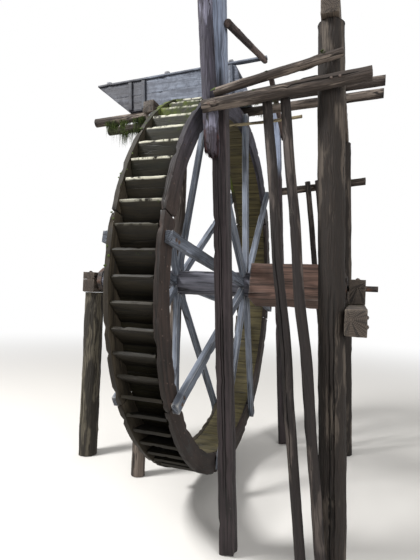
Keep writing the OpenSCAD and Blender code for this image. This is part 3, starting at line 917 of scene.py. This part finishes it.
def thread(bm, root, length, width, rng):
    """One hanging thread of moss, a thin three-sided strand that narrows and sways a little."""
    place = Matrix.Translation(root - ALONG_Z * length / 2) @ Matrix.Rotation(rng.uniform(0, 2), 4, "Z")
    made = bmesh.ops.create_cone(
        bm, cap_ends=True, segments=3, radius1=width * 0.15, radius2=width, depth=length, matrix=place,
    )
    sway = Vector((rng.uniform(-1, 1), rng.uniform(-1, 1), 0)) * length * 0.12
    for v in made["verts"]:
        if v.co.z < root.z - length / 2:
            v.co += sway


def beard(bm, root, length, rng, spread=0.02):
    """A tuft of hanging threads."""
    for _ in range(rng.randint(5, 10)):
        off = Vector((rng.gauss(0, spread * 0.4), rng.gauss(0, spread), 0))
        thread(bm, root + off, length * rng.uniform(0.3, 1.0), rng.uniform(0.0010, 0.0024), rng)


def cushion(bm, place, up, size, rng):
    """A low cushion of moss, with a few smaller ones round it."""
    turn = up.to_track_quat("Z", "Y").to_matrix()
    for k in range(rng.randint(3, 7)):
        scale = size * (1.0 if k == 0 else rng.uniform(0.25, 0.6))
        away = Vector((rng.gauss(0, 1), rng.gauss(0, 0.6), 0)) * size * (0 if k == 0 else 1)
        spot = place + turn @ away
        wide, deep = rng.uniform(0.8, 1.3), rng.uniform(0.7, 1.1)
        flat = Matrix.Diagonal((scale * wide, scale * deep, scale * 0.3, 1))
        matrix = Matrix.Translation(spot) @ turn.to_4x4() @ flat
        made = bmesh.ops.create_icosphere(bm, subdivisions=2 if k == 0 else 1, radius=1, matrix=matrix)
        for v in made["verts"]:
            v.co += (v.co - spot) * (0.7 * noise.noise(v.co * 60) + 0.25 * noise.noise(v.co * 210))


def place_cushions(bm, node, count, rng):
    """Cushions on those faces of a node that look up."""
    part = copied(node)
    part.normal_update()
    bmesh.ops.triangulate(part, faces=part.faces[:])
    tops = [f for f in part.faces if f.normal.z > 0.6]
    areas = [f.calc_area() for f in tops]
    for f in rng.choices(tops, areas, k=count):
        shares = sorted((rng.random(), rng.random()))
        a, b, c = (v.co for v in f.verts)
        place = a * shares[0] + b * (shares[1] - shares[0]) + c * (1 - shares[1])
        cushion(bm, place - f.normal * 0.007, f.normal, rng.uniform(0.010, 0.024), rng)
    part.free()


def flume_under(y):
    """Height of the flume's underside."""
    return FLUME_Z - y * math.tan(FLUME_FALL)


def flume_moss(rng):
    """Beards that hang from the bearer logs and, past the wheel, from the flume's floor."""
    tufts = []
    for node, clumps in (("left_bearer_log", 64), ("right_bearer_log", 34)):
        low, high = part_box(node)
        centre = (low.x + high.x) / 2
        radius = (high.x - low.x) / 2
        for _ in range(clumps):
            far = rng.random() < 0.75
            clump = rng.uniform(WHEEL_SIDE, MOSS_END) if far else rng.uniform(MOSS_START, WHEEL_SIDE)
            reach = rng.uniform(0.05, 0.30) * (1.0 if clump > 0 else 0.3)
            bm = bmesh.new()
            for _ in range(rng.randint(4, 15)):
                y = min(MOSS_END, max(MOSS_START, rng.gauss(clump, 0.035)))
                turn = rng.uniform(-2.9, -0.5)
                root = Vector((centre, y, flume_under(y) - radius * 0.86))
                root += Vector((math.cos(turn), 0, math.sin(turn))) * radius * 0.93
                length = SHORT_MOSS if abs(y) < WHEEL_SIDE else reach * rng.uniform(0.4, 1.0)
                beard(bm, root, length, rng)
            tufts.append(bm)
    bm = bmesh.new()
    for _ in range(70):
        y = rng.uniform(0.36, 1.2)
        root = Vector((rng.uniform(0.14, 0.31), y, flume_under(y) + 0.003))
        beard(bm, root, rng.uniform(0.03, 0.12), rng)
    tufts.append(bm)
    joined(tufts, "flume_beards", "frame", MOSS_THREADS)


def log_moss(rng):
    """Cushions on the tops of logs and beams."""
    bm = bmesh.new()
    counts = {"left_tie_log": 14, "right_tie_log": 8, "near_head_beam": 12, "near_bearing_beam": 10,
              "far_head_beam": 9, "left_bearer_log": 8}
    for node, count in counts.items():
        place_cushions(bm, node, count, rng)
    joined([bm], "log_moss", "frame", MOSS_THREADS)


def wheel_moss(rng):
    """Beards on the upper boards' lips and cushions on the far ring's rim."""
    tufts = []
    for bay in range(1, BAY_COUNT + 1):
        bm = bmesh.new()
        tufts.append(bm)
        for part in loose_parts(copied(f"buckets_{bay}")):
            lip = max(part.verts, key=lambda v: from_line(v.co)).co.copy()
            part.free()
            angle = math.degrees(math.atan2(lip.z - HUB.z, lip.x))
            if not 45 < angle < 175:
                continue
            for _ in range(rng.randint(4, 11)):
                y = rng.uniform(RING_LOW.y + 0.06, FAR_RING_HIGH.y - 0.06)
                root = lip + (HUB - lip).normalized() * rng.uniform(0.008, 0.05)
                root.y = y
                beard(bm, root, rng.uniform(0.012, 0.04), rng, 0.012)
    bm = bmesh.new()
    tufts.append(bm)
    for _ in range(70):
        angle = math.radians(rng.uniform(50, 178))
        y = rng.uniform(FAR_RING_HIGH.y - 0.042, FAR_RING_HIGH.y - 0.008)
        place = from_axle(angle, WHEEL_R - 0.007, y)
        cushion(bm, place, from_axle(angle, 1, 0) - HUB, rng.uniform(0.006, 0.013), rng)
    joined(tufts, "wheel_moss", "wheel", MOSS_THREADS)


def mosses():
    """All moss that has a shape of its own."""
    rng = random.Random(57)
    flume_moss(rng)
    log_moss(rng)
    wheel_moss(rng)


def flume_battens():
    """Upright battens that hold the boards of the flume's sides together, with their nails."""
    rng = random.Random(12)
    thick, wide, tall = 0.020, 0.046, 0.352
    low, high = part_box("flume_floor")
    parts = []
    iron = bmesh.new()
    for side, x in ((-1, low.x - FLUME_WALL), (1, high.x + FLUME_WALL)):
        out = Vector((side, 0, 0))
        for y in BATTENS:
            foot = Vector((x, 0, FLUME_Z)) + FLUME_RUN * (y + rng.uniform(-0.01, 0.01))
            part = bmesh.new()
            turn = Matrix((out, FLUME_RUN, FLUME_UP)).transposed().to_4x4()
            place = Matrix.Translation(foot + FLUME_UP * (0.014 + tall / 2) + out * 0.0095) @ turn
            bmesh.ops.create_cube(part, size=1, matrix=place @ Matrix.Diagonal((thick, wide, tall, 1)))
            askew = Matrix.Rotation(rng.uniform(-0.02, 0.02), 3, out)
            bmesh.ops.rotate(part, verts=part.verts, cent=foot, matrix=askew)
            eased(part, 0.003)
            sliced(part, FLUME_UP, 0.04)
            mark_wood(part, FLUME_UP, 0.03, rng)
            bitten(part, rng, 3, 0.02, 0.006)
            hewn(part, rng, FLUME_UP, 0.002)
            parts.append(part)
            for h in (0.06, 0.17, 0.31):
                spot = foot + FLUME_UP * h + out * 0.0185 + FLUME_RUN * rng.uniform(-0.01, 0.01)
                nail(iron, spot, out, rng, 0.006)
    joined(parts, "flume_battens", "frame", WET_FLUME_WOOD)
    joined([iron], "flume_nails", "frame", OLD_IRON)


def frame_iron():
    """Bolts through the bearings, spikes in the tie logs and beams."""
    rng = random.Random(77)
    bm = bmesh.new()
    for node in ("near_bearing_cap", "far_bearing_cap"):
        low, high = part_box(node)
        for x in (low.x + 0.045, high.x - 0.045):
            bolt(bm, Vector((x, (low.y + high.y) / 2, high.z - 0.003)), ALONG_Z, rng, 1.3)
    for node, side in (("left_tie_log", -1), ("right_tie_log", 1)):
        low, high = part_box(node)
        x = low.x + TIE_R if side < 0 else high.x - TIE_R
        for y in TIE_SPIKES:
            centre = Vector((x, y, low.z + TIE_R + (TIE_START_Y - y) * TIE_SLOPE))
            out = Vector((side, 0, rng.uniform(-0.25, 0.25))).normalized()
            round_part(bm, centre + out * (TIE_R - 0.004), out, 0.011, 0.007, 9, 0.75)
    low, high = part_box("near_bearing_beam")
    for x in (-POST_X, POST_X):
        for off in (-0.03, 0.035):
            bolt(bm, Vector((x + off, low.y + 0.003, (low.z + high.z) / 2 + off)), -ALONG_Y, rng, 0.9)
    low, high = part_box("near_head_beam")
    for x in (-1.39, 1.39):
        round_part(bm, Vector((x, (low.y + high.y) / 2, high.z - 0.003)), ALONG_Z, 0.013, 0.008, 9, 0.7)
    joined([bm], "frame_iron", "frame", OLD_IRON)


def camera():
    """The camera at the picture's place, with its turn, rise and roll."""
    data = bpy.data.cameras.new("camera")
    data.sensor_fit = "VERTICAL"
    data.sensor_height = SENSOR
    data.lens = SENSOR * FOCAL_PX / PICTURE_H
    made = placed("camera", data)
    turn = Matrix.Rotation(CAMERA_TURN - math.pi / 2, 4, "Z")
    rise = Matrix.Rotation(CAMERA_RISE + math.pi / 2, 4, "X")
    roll = Matrix.Rotation(CAMERA_ROLL, 4, "Z")
    made.matrix_world = Matrix.Translation(CAMERA_PLACE) @ turn @ rise @ roll
    bpy.context.scene.camera = made


def lamp(name, place, aim, size, power):
    """A round soft lamp that looks at a point."""
    data = bpy.data.lights.new(name, "AREA")
    data.shape = "DISK"
    data.size = size
    data.energy = power
    made = placed(name, data)
    made.location = place
    made.rotation_euler = (aim - place).to_track_quat("-Z", "Y").to_euler()


def studio():
    """Plain soft light, a white world for the eye, and a pale floor that keeps the shadow."""
    world = bpy.data.worlds.new("studio")
    bpy.context.scene.world = world
    world.use_nodes = True
    tree = world.node_tree
    tree.nodes.clear()
    path = shade_node("LightPath", {}, tree).outputs
    mirrored = sums("MAXIMUM", path["Is Glossy Ray"], path["Is Transmission Ray"])
    seen = sums("MAXIMUM", path["Is Camera Ray"], mirrored)
    soft = shade_node("Background", {"Color": "#ffffff", "Strength": 0.55}, tree)
    white = shade_node("Background", {"Color": "#ffffff", "Strength": 1.0}, tree)
    mix = shade_node("MixShader", {0: seen, 1: soft.outputs[0], 2: white.outputs[0]})
    shade_node("OutputWorld", {0: mix.outputs[0]})

    lamp("key", Vector((-4.5, 5.5, 9.5)), Vector((0, 0, 2.4)), 2.5, 1500)
    lamp("fill", Vector((-7.0, -6.0, 4.5)), Vector((0, 0, 2.2)), 5.0, 420)

    bm = bmesh.new()
    bmesh.ops.create_circle(bm, cap_ends=True, segments=96, radius=60)
    mesh = as_mesh(bm, "floor")
    made, shader, place = bare_material("pale_floor")
    tree = made.node_tree
    shader.inputs["Base Color"].default_value = paint("#dcd9d4")
    shader.inputs["Roughness"].default_value = 0.9
    away = vectors("LENGTH", place, out="Value")
    seen = shade_node("LightPath", {}, tree).outputs["Is Camera Ray"]
    far = sums("MULTIPLY", ramped(away, 4.0, 16.0), seen)
    glow = shade_node("Emission", {"Color": "#ffffff", "Strength": 1.0}, tree)
    mix = shade_node("MixShader", {0: far, 1: shader.outputs[0], 2: glow.outputs[0]})
    tree.links.new(mix.outputs[0], tree.nodes["Material Output"].inputs[0])
    mesh.materials.append(made)
    placed("floor", mesh)


def wheel_body():
    """The pieces that turn."""
    ring("near_ring", RING_WOOD)
    ring("far_ring", FAR_RING_WOOD)
    for node in ("near_spokes", "far_spokes"):
        timbers(node, "wheel", SPOKE_WOOD, "grey_wood", step=0.05, across=0.024, ease=0.005, chips=6,
                splits=2, split_depth=0.008)
    for bay in range(1, BAY_COUNT + 1):
        timbers(f"buckets_{bay}", "wheel", BUCKET_WOOD, "mossy_wood", ALONG_Y, step=0.028, ease=0.004,
                hollow=0.005, chips=7, chip=0.035, grain=(5.0, 22.0))
    for quarter in range(1, 5):
        timbers(f"sole_{quarter}", "wheel", SOLE_WOOD, "mossy_wood", ALONG_Y, step=0.045, across=0.045,
                ease=0.003, hollow=0.0015)
    timbers("axle", "wheel", AXLE_WOOD, "grey_wood", ALONG_Y, across=0.05, ease=0.012, hollow=0.007,
            pith=0.0, chips=10, chip=0.08, chip_depth=0.02, splits=4, split_depth=0.02)
    for iron in ("axle_hoops", "near_gudgeon", "far_gudgeon"):
        timbers(iron, "wheel", OLD_IRON, "iron", ALONG_Y, step=0.03, across=0.05, ease=0.002, hollow=0.0008)
    wheel_iron()


def round_logs(node, material, slot="bark_wood", **changes):
    """Logs of the frame, which share what changes doesn't name."""
    look = dict(step=0.05, across=0.035, ease=0.007, hollow=0.009, pith=0.0, knots=5, splits=2)
    timbers(node, "frame", material, slot, **(look | changes))


def frame_body():
    """The pieces that stand: posts, logs, bearings and the flume."""
    side_joint = (Vector((0, 0, FLUME_Z)) + FLUME_UP * SIDE_JOINT, FLUME_UP)
    for side in ("left", "right"):
        timbers(f"{side}_squared_post", "frame", POST_WOOD, "bark_wood", step=0.05, across=0.028, ease=0.010,
                hollow=0.007, pith=0.03, chips=24, chip=0.07, chip_depth=0.018, knots=5, splits=6)
        round_logs(f"{side}_tie_log", BARKED_WOOD, step=0.03, across=0.022, hollow=0.008, chips=8)
        round_logs(f"{side}_props", PROP_WOOD, hollow=0.006, bow=0.02, knots=3)
        round_logs(f"{side}_tall_post", TALL_WOOD, hollow=0.012, knots=9, splits=4)
        round_logs(f"{side}_far_post", BARKED_WOOD)
        round_logs(f"{side}_bearer_log", BARKED_WOOD, hollow=0.004, splits=0, knots=0)
        round_logs(f"{side}_cross_pole", BARE_POLE, "pale_wood", across=0.018, hollow=0.005, knots=3)
        timbers(f"flume_{side}_side", "frame", WET_FLUME_WOOD if side == "left" else FLUME_WOOD, "grey_wood",
                ALONG_Y, step=0.05, across=0.04, ease=0.004, hollow=0.004, chips=10, chip=0.05,
                saws=[side_joint])
    round_logs("left_rail", RAIL_WOOD, "pale_wood", step=0.03, across=0.01, ease=0.002, hollow=0.003,
               bow=0.015, splits=0, knots=2)
    round_logs("broken_log", ROTTEN_WOOD, step=0.025, across=0.018, ease=0.005, hollow=0.010, chips=14,
               chip=0.05, chip_depth=0.02, splits=4, torn=0.15)
    for beam in ("near_head_beam", "near_bearing_beam", "far_head_beam"):
        timbers(beam, "frame", BEAM_WOOD, "bark_wood", ALONG_X, step=0.05, across=0.035, ease=0.008,
                hollow=0.006, pith=0.04, chips=16, chip=0.06, knots=4, splits=4)
    for end in ("near", "far"):
        for half in ("block", "cap"):
            timbers(f"{end}_bearing_{half}", "frame", BEAM_WOOD, "bark_wood", ALONG_X, step=0.03,
                    ease=0.005, chips=5)
    round_logs("far_bearing_post", STUMP_WOOD, "pale_wood", hollow=0.012, knots=6, splits=5)
    floor_joints = [(Vector((x, 0, 0)), ALONG_X) for x in FLOOR_JOINTS]
    timbers("flume_floor", "frame", WET_FLUME_WOOD, "wet_wood", ALONG_Y, step=0.06, across=0.05, ease=0.003,
            saws=floor_joints)
    timbers("flume_spreaders", "frame", FLUME_WOOD, "grey_wood", ALONG_X, ease=0.003, chips=4)
    flume_battens()
    frame_iron()


camera()
studio()
wheel_body()
frame_body()
mosses()

bpy.context.scene.view_settings.view_transform = "Standard"
